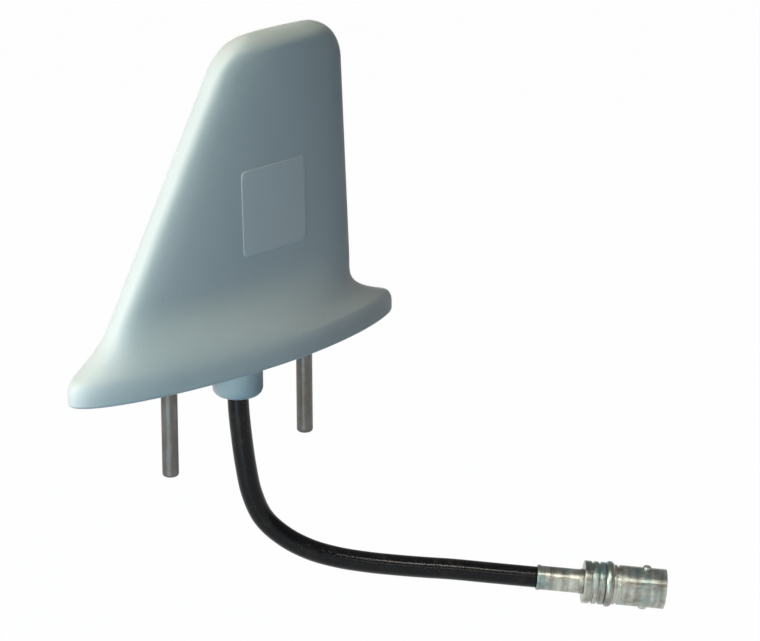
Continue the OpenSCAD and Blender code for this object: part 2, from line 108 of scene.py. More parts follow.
# Blank label on the near flank, in millimetres
LABEL_X = (-2.9, 18.2)
LABEL_Z = (26.8, 47.8)
LABEL_CORNER_R = 1.2
LABEL_T = 0.1
LABEL_SINK = 0.1
LABEL_STEP = 0.8
LABEL_CORNER_STEPS = 9
LABEL_RINGS = 12
LABEL_EDGE_LIFT = 0.06
LABEL_TOP_SHARE = 0.995

# Studs and boss, in millimetres
STUD_SPACING = 44.45
STUD_R = 2
STUD_LEN = 24.7
STUD_CHAMFER = 0.8
STUD_SEAT_R = 2.4
STUD_HEAD_R = 3.7
STUD_HEAD_H = 1.2
THREAD_PITCH = 0.7
THREAD_DEPTH = 0.015
THREAD_TOP = -1.6
THREAD_FADE = 1.2
THREAD_END_SHARE = 0.4
THREAD_SLOPE = 1.5
THREAD_CREST = 0.25
THREAD_STEPS = 10
STUD_SIDES = 48
BOSS_R = 6.15
BOSS_H = 9.6
BOSS_EDGE_R = 2.2
BOSS_BORE_R = 2.7
NECK_R = 4.5
BOSS_EDGE_STEPS = 8

# Jack on the cable's end, in millimetres along its axis from the back of the ferrule
FERRULE_LEN = 11.5
FERRULE_R = 2.95
FERRULE_LIP_R = 3.1
FERRULE_LIP_W = 0.9
FERRULE_BORE_R = 2.13
STEM_START = 0.9
STEM_R = 1.85
STEM_BORE_R = 1.505
REAR_R = 5.25
REAR_LEN = 5.1
REAR_BANDS = 3
COLLAR_R = 5.65
COLLAR_LEN = 2.3
BEAD_STEPS = 12
BARREL_R = 4.9
BARREL_LEN = 12.9
SOCKET_R = 4.05
SOCKET_DEPTH = 10
GROOVE_W = 0.6
GROOVE_DEPTH = 0.35
PIN_R = 1
PIN_TOP_R = 5.55
PIN_FOOT_R = 4.5
PIN_SETBACK = 5
PIN_CORE_R = 0.02

# Turned pieces: sides, points on a rounded corner, and how far the corners are rounded, in millimetres
TURNED_SIDES = 96
EASE_STEPS = 4
EASE_MOST = 0.4  # of the shorter edge at a corner
BOSS_EASE = 0.15
FERRULE_EASE = 0.15
JACK_EASE = 0.18
PIN_EASE = 0.25

# Stage, in metres, and the directions and levels of its light
FLOOR_Z = -0.3
FLOOR_SIZE = 8
FLOOR_COLOUR = (0.1, 0.2, 0.29, 1)
FLOOR_WHITE = 1.06
FLOOR_WHITE_SHARE = 0.93
AMBIENT_SIDE = (-0.7, -0.71, 0)
AMBIENT_STRENGTH = 0.08
AMBIENT_STOPS = ((0.1, (0, 0, 0, 1)), (1, (0.1, 0.4, 1, 1)))
SKY_STOPS = ((0.05, (1, 1, 1, 1)), (0.3, (0.3, 0.3, 0.3, 1)))

# Lamps: place, target, size, watts, colour and the spread of the beam in degrees
LAMPS = {
    "key": ((-1.0, 0.5, 0.42), (0, 0, 0.02), 0.35, 8.3, (1, 0.9, 0.84), 180),
    "overhead": ((-0.62, -0.02, 0.98), (0, 0, 0.02), 0.5, 6.8, (0.94, 1, 0.8), 180),
    "near_fill": ((-0.36, -0.155, -0.015), (-0.02, 0, 0), 0.3, 0.74, (0.62, 0.88, 0.98), 180),
    "front_glint": ((-0.5, -0.785, 0.345), (0.06, -0.057, -0.058), 0.12, 0.003, (1, 0.97, 0.92), 14),
    "high_glint": ((-0.305, -0.641, 0.889), (0.045, -0.043, -0.055), 0.12, 0.014, (1, 0.95, 0.88), 14),
}


def make_camera():
    azimuth = math.radians(VIEW_AZIMUTH_DEG)
    elevation = math.radians(VIEW_ELEVATION_DEG)
    roll = math.radians(VIEW_ROLL_DEG)
    ahead = Vector((math.sin(azimuth), math.cos(azimuth), 0)) * math.cos(elevation)
    forward = ahead - Vector((0, 0, math.sin(elevation)))
    level = Vector((math.cos(azimuth), -math.sin(azimuth), 0))
    upright = level.cross(forward)
    right = level * math.cos(roll) - upright * math.sin(roll)
    up = upright * math.cos(roll) + level * math.sin(roll)
    camera = bpy.data.objects.new("camera", bpy.data.cameras.new("camera"))
    camera.data.sensor_width = SENSOR_MM
    camera.data.lens = FOCAL_PX / IMAGE_W_PX * SENSOR_MM
    place = Matrix((right, up, -forward)).transposed().to_4x4()
    place.translation = VIEW_AIM - forward * VIEW_DISTANCE
    camera.matrix_world = place
    bpy.context.scene.collection.objects.link(camera)
    bpy.context.scene.camera = camera


def mesh_piece(name, points, faces, straight=None):
    """A smooth mesh of points in metres.

    straight holds each point's place on the piece before it was bent or turned.
    """
    mesh = bpy.data.meshes.new(name)
    mesh.from_pydata(points, [], faces)
    mesh.polygons.foreach_set("use_smooth", [True] * len(mesh.polygons))
    if straight is not None:
        kept = mesh.attributes.new("straight", "FLOAT_VECTOR", "POINT")
        kept.data.foreach_set("vector", [c for p in straight for c in p])
    piece = bpy.data.objects.new(name, mesh)
    bpy.context.scene.collection.objects.link(piece)
    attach(piece, "root")
    return piece


def even_normals(piece):
    """Keeps broad faces flat beside their narrow rounded edges."""
    piece.modifiers.new("even_normals", "WEIGHTED_NORMAL")


def band(low, high, n):
    """Quads between two rings of n points."""
    return [(low + i, low + (i + 1) % n, high + (i + 1) % n, high + i) for i in range(n)]


def mix(a, b, share):
    return a + (b - a) * share


# Cable

def route_curve():
    """Smooth curve through the route's points, in millimetres along the heading and up."""
    points = [Vector(p) for p in CABLE_ROUTE_MM]
    curve = []
    for i in range(len(points) - 1):
        a, b, c, d = (points[min(max(k, 0), len(points) - 1)] for k in range(i - 1, i + 3))
        for k in range(CABLE_STEPS):
            t = k / CABLE_STEPS
            curve.append((2 * b + (c - a) * t + (2 * a - 5 * b + 4 * c - d) * t ** 2
                          + (3 * b - a - 3 * c + d) * t ** 3) / 2)
    return curve + [points[-1]]


def make_cable():
    curve = route_curve()
    turn = Matrix.Rotation(CABLE_HEADING, 3, "Z")
    path, points, straight = [], [], []
    along = 0
    for i, p in enumerate(curve):
        step = (curve[min(i + 1, len(curve) - 1)] - curve[max(i - 1, 0)]).normalized()
        along += (p - curve[i - 1]).length if i else 0
        path.append(turn @ Vector((p.x, 0, p.y)) * MM)
        for k in range(CABLE_SIDES):
            angle = 2 * math.pi * k / CABLE_SIDES
            out = CABLE_D / 2 * math.cos(angle)
            across = CABLE_D / 2 * math.sin(angle)
            points.append(turn @ Vector((p.x - out * step.y, across, p.y + out * step.x)) * MM)
            straight.append((out * MM, across * MM, along * MM))
    n = CABLE_SIDES
    faces = [f for i in range(len(curve) - 1) for f in band(i * n, (i + 1) * n, n)]
    faces.append(tuple(range(n - 1, -1, -1)))
    faces.append(tuple(range((len(curve) - 1) * n, len(curve) * n)))
    cable = mesh_piece("coaxial_cable", points, faces, straight)
    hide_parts("coax_cable")
    return cable, path


# Radome

def outline(front, rear, half_w, front_power, rear_power, rear_half_w, crest):
    """Plan outline from its front end round: rounded in front, drawn out to a blunt end at the rear."""
    middle = front + crest * (rear - front)
    points = []
    for i in range(2 * OUTLINE_HALF_STEPS):
        angle = math.pi * i / OUTLINE_HALF_STEPS
        c = math.cos(angle)
        s = abs(math.sin(angle))
        if c > 0:
            x = middle - c * (middle - front)
            y = half_w * s ** front_power
        else:
            x = middle - c * (rear - middle)
            y = (half_w - rear_half_w) * s ** rear_power + rear_half_w * math.sqrt(s)
        points.append((x, math.copysign(y, math.sin(angle))))
    return points


def round_over(z, top, height):
    return math.sqrt(max(0, 1 - (max(0, z - top + height) / height) ** 2))


def end_share(z, height):
    return min(1, max(0, 1 - (z - RIM_H) / height)) ** END_BLEND_POWER


def flank_share(z):
    up = min(1, max(0, z - FLANK_START) / FLANK_BLEND_H)
    return (1 - up * up) ** FLANK_BLEND_POWER


def leading_x(z):
    centre_z = BLADE_H - FRONT_CORNER_R
    up = z - centre_z
    if up > FRONT_CORNER_R * math.sin(LE_SWEEP):
        centre_x = centre_z * math.tan(LE_SWEEP) - LE_REACH + FRONT_CORNER_R / math.cos(LE_SWEEP)
        return centre_x - math.sqrt(max(0, FRONT_CORNER_R ** 2 - up * up))
    return z * math.tan(LE_SWEEP) - LE_REACH


def trailing_x(z):
    centre_z = BLADE_H - REAR_CORNER_R
    up = z - centre_z
    if up > 0:
        centre_x = TE_REACH - centre_z * math.tan(TE_LEAN) - REAR_CORNER_R
        return centre_x + math.sqrt(max(0, REAR_CORNER_R ** 2 - up * up))
    return TE_REACH - z * math.tan(TE_LEAN)


def edge_inset(z, r, angle):
    """How far a rounded end of the rim has drawn in by a height."""
    rise = r * math.sin(angle)
    up = min(max(0, z - RIM_H + rise), rise)
    return r - math.sqrt(r * r - up * up)


def foot_inset(z):
    """How far the rounded lower edge draws the outline in."""
    return FOOT_EDGE_R - math.sqrt(FOOT_EDGE_R ** 2 - max(0, FOOT_EDGE_R - z) ** 2)


def skin_shape(z):
    """The outline's measures at a height: ends, half width, powers, rear half width and crest."""
    rim = flank_share(z)
    tip = round_over(z, BLADE_H, TIP_ROUND_H)
    edge_x = leading_x(z)
    nose_x = min(edge_x, edge_inset(z, NOSE_EDGE_R, NOSE_EDGE_ANGLE) - NOSE_REACH)
    tail_x = BASE_LEN - NOSE_REACH - edge_inset(z, TAIL_EDGE_R, TAIL_EDGE_ANGLE)
    front = mix(edge_x, nose_x, end_share(z, NOSE_BLEND_H)) + foot_inset(z)
    rear = mix(trailing_x(z), tail_x, end_share(z, TAIL_BLEND_H)) - foot_inset(z)
    half_w = mix(mix(ROOT_T, TIP_T, z / BLADE_H), BASE_W, rim) / 2 * tip - foot_inset(z)
    front_power = mix(LE_SHARPNESS, NOSE_SHARPNESS, rim)
    rear_power = mix(TE_SHARPNESS, TAIL_SHARPNESS, rim)
    rear_half_w = mix(TE_END_W, TAIL_END_W, rim) / 2 * tip
    return front, rear, half_w, front_power, rear_power, rear_half_w, mix(BLADE_CREST, BASE_CREST, rim)


def flank_y(x, z):
    """Half width of the skin at a place on its flank."""
    front, rear, half_w, front_power, rear_power, rear_half_w, crest = skin_shape(z)
    middle = front + crest * (rear - front)
    c = (middle - x) / (middle - front if x < middle else rear - middle)
    s = math.sqrt(max(0, 1 - c * c))
    if x < middle:
        return half_w * s ** front_power
    return (half_w - rear_half_w) * s ** rear_power + rear_half_w * math.sqrt(s)


def skin_heights():
    """Heights of the skin's rings, close together where its shape turns."""
    blend_top = FLANK_START + FLANK_BLEND_H
    tip_start = BLADE_H - REAR_CORNER_R
    quarter = [math.sin(math.pi / 2 * k / EDGE_STEPS) for k in range(EDGE_STEPS + 1)]
    edge_h = max(NOSE_EDGE_R * math.sin(NOSE_EDGE_ANGLE), TAIL_EDGE_R * math.sin(TAIL_EDGE_ANGLE))
    foot = [FOOT_EDGE_R * (1 - s) for s in reversed(quarter)]
    wall = [mix(FOOT_EDGE_R, RIM_H - edge_h, k / WALL_STEPS) for k in range(1, WALL_STEPS)]
    rim = [RIM_H - edge_h * (1 - s) for s in quarter]
    blend = [mix(RIM_H, blend_top, (k / BLEND_STEPS) ** BLEND_BUNCHING) for k in range(1, BLEND_STEPS + 1)]
    blade = [mix(blend_top, tip_start, k / BLADE_STEPS) for k in range(1, BLADE_STEPS)]
    tip = [BLADE_H - (BLADE_H - tip_start) * (1 - math.sin(math.radians(a))) for a in TIP_ANGLES_DEG]
    return foot + wall + rim + blend + blade + tip


def make_radome():
    n = 2 * OUTLINE_HALF_STEPS
    recess = outline(NOSE_LIP - NOSE_REACH, BASE_LEN - NOSE_REACH - TAIL_LIP, BASE_W / 2 - SIDE_LIP,
                     NOSE_SHARPNESS, TAIL_SHARPNESS, TAIL_END_W / 2, BASE_CREST)
    rings = [(PLATE_T, recess), (0, recess)]
    rings += [(z, outline(*skin_shape(z))) for z in skin_heights()]
    points = [Vector((x, y, z)) * MM for z, ring in rings for x, y in ring]
    faces = [f for j in range(len(rings) - 1) for f in band(j * n, (j + 1) * n, n)]
    for first, flip in ((0, True), ((len(rings) - 1) * n, False)):
        for i in range(OUTLINE_HALF_STEPS):
            across = (first + i, first + i + 1, first + n - i - 1, first + (n - i) % n)
            cap = tuple(dict.fromkeys(across))
            faces.append(cap[::-1] if flip else cap)
    radome = mesh_piece("painted_radome", points, faces)
    even_normals(radome)
    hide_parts("radome")
    return radome


def label_outline():
    """Rounded rectangle about the label's middle, in millimetres."""
    half_x = (LABEL_X[1] - LABEL_X[0]) / 2
    half_z = (LABEL_Z[1] - LABEL_Z[0]) / 2
    points = []
    for corner, (sx, sz) in enumerate(((1, 1), (-1, 1), (-1, -1), (1, -1))):
        for k in range(LABEL_CORNER_STEPS + 1):
            angle = math.pi / 2 * (corner + k / LABEL_CORNER_STEPS)
            points.append(Vector((sx * (half_x - LABEL_CORNER_R) + LABEL_CORNER_R * math.cos(angle),
                                  sz * (half_z - LABEL_CORNER_R) + LABEL_CORNER_R * math.sin(angle))))
    closed = points + points[:1]
    steps = [max(1, round((b - a).length / LABEL_STEP)) for a, b in zip(closed, closed[1:])]
    return [mix(a, b, k / n) for a, b, n in zip(closed, closed[1:], steps) for k in range(n)]


def make_label():
    """Thin film that follows the flank, with its edge sunk into the paint."""
    middle_x = sum(LABEL_X) / 2
    middle_z = sum(LABEL_Z) / 2
    ring = label_outline()
    n = len(ring)
    lifts = [(-LABEL_SINK, 1), (LABEL_EDGE_LIFT, 1), (LABEL_T, LABEL_TOP_SHARE)]
    lifts += [(LABEL_T, k / LABEL_RINGS) for k in range(LABEL_RINGS - 1, 0, -1)]
    points, faces = [], []
    for lift, share in lifts:
        for x, z in ring:
            place = (middle_x + x * share, middle_z + z * share)
            points.append(Vector((place[0], -flank_y(*place) - lift, place[1])) * MM)
    for j in range(len(lifts) - 1):
        faces += band(j * n, (j + 1) * n, n)
    faces.append(tuple((len(lifts) - 1) * n + i for i in range(n)))
    faces.append(tuple(range(n - 1, -1, -1)))
    label = mesh_piece("blank_label", points, faces)
    even_normals(label)
    return label


# Turned pieces

def eased(profile, ease):
    """The profile with each of its corners rounded by a few points."""
    rounded = []
    for i, corner in enumerate(profile):
        corner = Vector(corner)
        before = Vector(profile[i - 1]) - corner
        after = Vector(profile[(i + 1) % len(profile)]) - corner
        reach = min(ease, before.length * EASE_MOST, after.length * EASE_MOST)
        start = corner + before.normalized() * reach
        end = corner + after.normalized() * reach
        for k in range(EASE_STEPS + 1):
            t = k / EASE_STEPS
            rounded.append(start * (1 - t) ** 2 + corner * 2 * t * (1 - t) + end * t ** 2)
    return rounded


def lathe(profile, place):
    """Points, faces and straight places of a closed profile of radii and stations, turned about +Z."""
    straight = []
    for k in range(TURNED_SIDES):
        angle = 2 * math.pi * k / TURNED_SIDES
        straight += [Vector((r * math.cos(angle), r * math.sin(angle), z)) * MM for r, z in profile]
    n = len(profile)
    faces = []
    for k in range(TURNED_SIDES):
        here, there = k * n, (k + 1) % TURNED_SIDES * n
        faces += [(here + i, there + i, there + (i + 1) % n, here + (i + 1) % n) for i in range(n)]
    return [place @ p for p in straight], faces, straight


def turned_piece(name, profiles, node):
    """One piece from several turned profiles, each with its own place."""
    points, faces, straight = [], [], []
    for profile, place in profiles:
        new_points, new_faces, new_straight = lathe(profile, place)
        faces += [tuple(i + len(points) for i in f) for f in new_faces]
        points += new_points
        straight += new_straight
    piece = mesh_piece(name, points, faces, straight)
    even_normals(piece)
    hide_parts(node)
    return piece


def make_boss():
    profile = [(BOSS_BORE_R, PLATE_T), (BOSS_BORE_R, -BOSS_H), (BOSS_R - BOSS_EDGE_R, -BOSS_H)]
    for k in range(1, BOSS_EDGE_STEPS + 1):
        angle = math.pi / 2 * k / BOSS_EDGE_STEPS
        profile.append((BOSS_R - BOSS_EDGE_R * (1 - math.sin(angle)),
                        BOSS_EDGE_R * (1 - math.cos(angle)) - BOSS_H))
    profile += [(BOSS_R, 0), (NECK_R, 0), (NECK_R, PLATE_T)]
    profiles = [(eased(profile, BOSS_EASE), Matrix())]
    return turned_piece("moulded_boss", profiles, "cable_boss")


def jack_place():
    """From the jack's own axis, with +Z towards its mouth, to its place on the cable's end."""
    end = Vector(CABLE_ROUTE_MM[-1])
    step = end - Vector(CABLE_ROUTE_MM[-2])
    rise = math.atan2(step.y, step.x)
    return (Matrix.Rotation(CABLE_HEADING, 4, "Z")
            @ Matrix.Translation(Vector((end.x, 0, end.y)) * MM)
            @ Matrix.Rotation(math.pi / 2 - rise, 4, "Y"))


def grooved(r, start, end, grooves):
    """Outer wall of a turned piece with square grooves at the given stations."""
    profile = [(r, start)]
    for station in grooves:
        profile += [(r, station), (r - GROOVE_DEPTH, station)]
        profile += [(r - GROOVE_DEPTH, station + GROOVE_W), (r, station + GROOVE_W)]
    return profile + [(r, end)]


def make_jack_body():
    rear_end = FERRULE_LEN + REAR_LEN
    barrel_start = rear_end + COLLAR_LEN
    mouth = barrel_start + BARREL_LEN
    profile = [(STEM_BORE_R, STEM_START), (STEM_R, STEM_START), (STEM_R, FERRULE_LEN)]
    rear_grooves = [FERRULE_LEN + REAR_LEN * k / REAR_BANDS for k in range(1, REAR_BANDS)]
    profile += grooved(REAR_R, FERRULE_LEN, rear_end, rear_grooves)
    bead_r = COLLAR_LEN / 2
    bead_centre = Vector((COLLAR_R - bead_r, rear_end + bead_r))
    lift = math.asin((BARREL_R - bead_centre.x) / bead_r)
    bead = []
    for k in range(BEAD_STEPS + 1):
        angle = mix(lift, math.pi - lift, k / BEAD_STEPS)
        bead.append((bead_centre.x + bead_r * math.sin(angle), bead_centre.y - bead_r * math.cos(angle)))
    profile += [(BARREL_R, rear_end)]
    profile += bead
    profile += grooved(BARREL_R, barrel_start, mouth, [barrel_start + GROOVE_W])
    profile += [(SOCKET_R, mouth), (SOCKET_R, mouth - SOCKET_DEPTH), (STEM_BORE_R, mouth - SOCKET_DEPTH)]
    profiles = [(eased(profile, JACK_EASE), jack_place())]
    return turned_piece("jack_body", profiles, "connector_body")


def make_ferrule():
    lip_end = FERRULE_LEN - FERRULE_LIP_W
    profile = [(FERRULE_BORE_R, 0), (FERRULE_LIP_R, 0), (FERRULE_LIP_R, FERRULE_LIP_W)]
    profile += [(FERRULE_R, FERRULE_LIP_W), (FERRULE_R, lip_end)]
    profile += [(FERRULE_LIP_R, lip_end), (FERRULE_LIP_R, FERRULE_LEN)]
    profile += [(FERRULE_BORE_R, FERRULE_LEN)]
    profiles = [(eased(profile, FERRULE_EASE), jack_place())]
    return turned_piece("ferrule_sleeve", profiles, "crimp_ferrule")


def make_pins():
    mouth = FERRULE_LEN + REAR_LEN + COLLAR_LEN + BARREL_LEN
    profile = [(PIN_CORE_R, PIN_FOOT_R), (PIN_R, PIN_FOOT_R), (PIN_R, PIN_TOP_R), (PIN_CORE_R, PIN_TOP_R)]
    level = Matrix.Translation((0, 0, (mouth - PIN_SETBACK) * MM))
    places = [jack_place() @ level @ Matrix.Rotation(turn, 4, "Z") @ Matrix.Rotation(math.pi / 2, 4, "Y")
              for turn in (0, math.pi)]
    profiles = [(eased(profile, PIN_EASE), p) for p in places]
    return turned_piece("jack_pins", profiles, "bayonet_pins")


# Studs

def thread_cut(turn):
    """Depth of the thread's groove, from 0 on its crest to 1 at its root, over one turn."""
    return min(1, max(0, THREAD_SLOPE * (1 - abs(2 * (turn % 1) - 1)) - THREAD_CREST))


def stud_radius(z, angle):
    """Radius of the shank, whose tip is rounded and whose thread runs out towards both ends."""
    end = max(0, z + STUD_LEN)
    if end < STUD_CHAMFER:
        return STUD_R - STUD_CHAMFER + math.sqrt(end * (2 * STUD_CHAMFER - end))
    fade = min(1, max(0, (THREAD_TOP - z) / THREAD_FADE))
    fade *= min(1, (end - STUD_CHAMFER) / THREAD_FADE + THREAD_END_SHARE)
    return STUD_R - THREAD_DEPTH * fade * thread_cut(z / THREAD_PITCH - angle / (2 * math.pi))


def make_studs():
    sides = STUD_SIDES
    rows = int(STUD_LEN / THREAD_PITCH * THREAD_STEPS) + 1
    shank = [-STUD_LEN + THREAD_PITCH * k / THREAD_STEPS for k in range(rows)]
    head = PLATE_T - STUD_HEAD_H
    upper = [(STUD_R, 0), (STUD_SEAT_R, 0), (STUD_SEAT_R, head)]
    upper += [(STUD_HEAD_R, head), (STUD_HEAD_R, PLATE_T)]
    points, faces, straight = [], [], []
    for side in (-1, 1):
        first = len(points)
        rings = [[(stud_radius(z, 2 * math.pi * k / sides), z) for k in range(sides)] for z in shank]
        rings += [[place] * sides for place in upper]
        for ring in rings:
            for k, (r, z) in enumerate(ring):
                angle = 2 * math.pi * k / sides
                local = Vector((r * math.cos(angle), r * math.sin(angle), z))
                straight.append(local * MM)
                points.append((local + Vector((side * STUD_SPACING / 2, 0, 0))) * MM)
        for j in range(len(rings) - 1):
            faces += band(first + j * sides, first + (j + 1) * sides, sides)
        faces.append(tuple(range(first + sides - 1, first - 1, -1)))
        faces.append(tuple(range(first + (len(rings) - 1) * sides, first + len(rings) * sides)))
    studs = mesh_piece("threaded_studs", points, faces, straight)
    even_normals(studs)
    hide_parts("mounting_studs")
    return studs


# Materials

class Finish:
    """A node material with a Principled shader, and short calls for the nodes that feed it."""

    def __init__(self, name, metallic=0.0, roughness=0.5, specular=0.5):
        self.material = bpy.data.materials.new(name)
        self.material.use_nodes = True
        self.nodes = self.material.node_tree.nodes
        self.links = self.material.node_tree.links
        self.shader = self.nodes["Principled BSDF"]
        self.shader.inputs["Metallic"].default_value = metallic
        self.shader.inputs["Roughness"].default_value = roughness
        self.shader.inputs["Specular IOR Level"].default_value = specular

    def place(self, straight=False, stretch=(1, 1, 1)):
        """The piece's own coordinates in metres, straightened where it was bent or turned."""
        if straight:
            source = self.nodes.new("ShaderNodeAttribute")
            source.attribute_name = "straight"
            vector = source.outputs["Vector"]
        else:
            vector = self.nodes.new("ShaderNodeTexCoord").outputs["Object"]
        scale = self.nodes.new("ShaderNodeVectorMath")
        scale.operation = "MULTIPLY"
        scale.inputs[1].default_value = stretch
        self.links.new(vector, scale.inputs[0])
        return scale.outputs[0]

    def noise(self, vector, scale, detail=3.0, rough=0.55):
        node = self.nodes.new("ShaderNodeTexNoise")
        node.inputs["Scale"].default_value = scale
        node.inputs["Detail"].default_value = detail
        node.inputs["Roughness"].default_value = rough
        self.links.new(vector, node.inputs["Vector"])
        return node.outputs["Fac"]

    def ramp(self, value, stops):
        """Colours or greys at stops along a value from 0 to 1."""
        node = self.nodes.new("ShaderNodeValToRGB")
        while len(node.color_ramp.elements) < len(stops):
            node.color_ramp.elements.new(0.5)
        for element, (at, colour) in zip(node.color_ramp.elements, stops):
            element.position = at
            element.color = (*colour, 1) if hasattr(colour, "__len__") else (colour, colour, colour, 1)
        self.links.new(value, node.inputs["Fac"])
        return node.outputs["Color"]

    def blend(self, share, a, b):
        """Mix of two colours or outputs by a share."""
        node = self.nodes.new("ShaderNodeMix")
        node.data_type = "RGBA"
        self.links.new(share, node.inputs["Factor"])
        for socket, value in ((node.inputs["A"], a), (node.inputs["B"], b)):
            if isinstance(value, bpy.types.NodeSocket):
                self.links.new(value, socket)
            else:
                socket.default_value = (*value, 1)
        return node.outputs["Result"]

    def colour(self, output):
        self.links.new(output, self.shader.inputs["Base Color"])

    def rough(self, value, low, high):
        self.links.new(self.ramp(value, [(0.3, low), (0.7, high)]), self.shader.inputs["Roughness"])

    def bump(self, height, distance_mm, strength=1.0):
        """Adds relief on top of any that is already there."""
        node = self.nodes.new("ShaderNodeBump")
        node.inputs["Strength"].default_value = strength
        node.inputs["Distance"].default_value = distance_mm * MM
        self.links.new(height, node.inputs["Height"])
        normal = self.shader.inputs["Normal"]
        if normal.is_linked:
            self.links.new(normal.links[0].from_socket, node.inputs["Normal"])
        self.links.new(node.outputs["Normal"], normal)

    def give(self, *pieces):
        for piece in pieces:
            piece.data.materials.clear()
            piece.data.materials.append(self.material)


def paint_finish():
    """Satin white paint over a moulding: faint mottling, orange peel and fine dust."""
    finish = Finish("white_paint", roughness=0.4, specular=0.2)
    place = finish.place()
    mottle = finish.noise(place, 45, 4)
    tone = finish.ramp(mottle, [(0.3, (0.66, 0.705, 0.72)), (0.7, (0.71, 0.745, 0.755))])
    specks = finish.ramp(finish.noise(place, 900, 2), [(0.68, 0.0), (0.76, 0.35)])
    finish.colour(finish.blend(specks, tone, (0.55, 0.58, 0.585)))
    finish.rough(finish.noise(place, 120, 3), 0.34, 0.46)
    finish.bump(finish.noise(place, 700, 2), 0.02, 0.5)
    finish.bump(finish.noise(place, 90, 2), 0.05, 0.35)
    return finish


def label_finish():
    """Smooth pale film, faintly wavy."""
    finish = Finish("label_film", roughness=0.3, specular=0.3)
    place = finish.place()
    tone = finish.noise(place, 40, 2)
    finish.colour(finish.ramp(tone, [(0.3, (0.745, 0.775, 0.79)), (0.7, (0.775, 0.8, 0.81))]))
    finish.rough(finish.noise(place, 60, 2), 0.3, 0.36)
    finish.bump(finish.noise(place, 60, 2), 0.02, 0.3)
    return finish


def boss_finish():
    """Moulded plastic, a little bluer than the paint, with fine moulding grain."""
    finish = Finish("moulded_plastic", roughness=0.5, specular=0.2)
    place = finish.place()
    tone = finish.noise(place, 220, 3)
    finish.colour(finish.ramp(tone, [(0.3, (0.6, 0.66, 0.675)), (0.7, (0.65, 0.7, 0.71))]))
    finish.rough(finish.noise(place, 500, 3), 0.42, 0.55)
    finish.bump(finish.noise(place, 2600, 2), 0.015, 0.5)
    return finish


def jacket_finish():
    """Black extruded jacket: lines drawn along its length, dull scuffs and a little dust."""
    finish = Finish("cable_jacket", roughness=0.24, specular=0.2)
    scuffs = finish.ramp(finish.noise(finish.place(True), 260, 5), [(0.52, 0.0), (0.72, 1.0)])
    finish.colour(finish.blend(scuffs, (0.004, 0.004, 0.005), (0.02, 0.016, 0.013)))
    drawn = finish.noise(finish.place(True, (1, 1, 0.03)), 2400, 2)
    finish.rough(finish.noise(finish.place(True, (1, 1, 0.25)), 420, 4), 0.2, 0.28)
    finish.bump(drawn, 0.004, 0.3)
    finish.bump(finish.noise(finish.place(True), 140, 2), 0.03, 0.3)
    return finish


def nickel_finish():
    """Turned nickel plating: fine rings, bands of wear, and patches of brown and bluish tarnish."""
    finish = Finish("nickel_plate", metallic=1.0, roughness=0.25)
    rings = finish.noise(finish.place(True, (0.02, 0.02, 1)), 5200, 3, 0.7)
    bands = finish.noise(finish.place(True, (0.05, 0.05, 1)), 420, 2)
    tone = finish.ramp(bands, [
        (0.34, (0.26, 0.255, 0.22)), (0.5, (0.4, 0.41, 0.36)), (0.66, (0.66, 0.67, 0.6))])
    bluish = finish.ramp(finish.noise(finish.place(True), 130, 3), [(0.46, 0.0), (0.66, 0.8)])
    brown = finish.ramp(finish.noise(finish.place(True), 310, 5), [(0.48, 0.0), (0.72, 0.85)])
    finish.colour(finish.blend(brown, finish.blend(bluish, tone, (0.2, 0.33, 0.35)), (0.17, 0.15, 0.115)))
    finish.rough(bands, 0.24, 0.42)
    finish.bump(rings, 0.012, 0.5)
    return finish


def steel_finish():
    """Dull plated steel: grain along the shank and brown stains."""
    finish = Finish("stud_steel", metallic=1.0, roughness=0.35)
    grain = finish.noise(finish.place(True, (1, 1, 0.15)), 900, 4)
    stains = finish.ramp(finish.noise(finish.place(), 170, 4), [(0.45, 0.0), (0.72, 1.0)])
    tone = finish.ramp(grain, [(0.3, (0.11, 0.108, 0.104)), (0.7, (0.18, 0.177, 0.17))])
    finish.colour(finish.blend(stains, tone, (0.11, 0.095, 0.082)))
    finish.rough(grain, 0.34, 0.46)
    finish.bump(grain, 0.01, 0.5)
    return finish


def plain_metal(name, dark, light, roughness, stretch=(1, 1, 1), scale=600):
    """Sheet or drawn metal with grain along one direction."""
    finish = Finish(name, metallic=1.0, roughness=roughness)
    grain = finish.noise(finish.place(stretch=stretch), scale, 4)
    finish.colour(finish.ramp(grain, [(0.3, dark), (0.7, light)]))
    finish.rough(grain, roughness - 0.08, roughness + 0.08)
    finish.bump(grain, 0.01, 0.5)
    return finish


def plain_plastic(name, dark, light, roughness, scale=300):
    """Moulded or cut plastic with an even grain."""
    finish = Finish(name, roughness=roughness)
    grain = finish.noise(finish.place(), scale, 4)
    finish.colour(finish.ramp(grain, [(0.3, dark), (0.7, light)]))
    finish.rough(grain, roughness - 0.06, roughness + 0.06)
    finish.bump(finish.noise(finish.place(), scale * 8, 2), 0.01, 0.5)
    return finish


def braid_finish():
    """Tinned braid: two sets of crossing strands."""
    finish = plain_metal("tinned_braid", (0.5, 0.49, 0.46), (0.68, 0.66, 0.62), 0.35)
    for lean in (1, -1):
        wave = finish.nodes.new("ShaderNodeTexWave")
        wave.inputs["Scale"].default_value = 900
        turn = finish.nodes.new("ShaderNodeVectorRotate")
        turn.inputs["Angle"].default_value = lean * math.radians(35)
        turn.inputs["Axis"].default_value = (0, 1, 0)
        finish.links.new(finish.place(), turn.inputs["Vector"])
        finish.links.new(turn.outputs["Vector"], wave.inputs["Vector"])
        finish.bump(wave.outputs["Fac"], 0.05, 0.5)
    return finish


# Stage

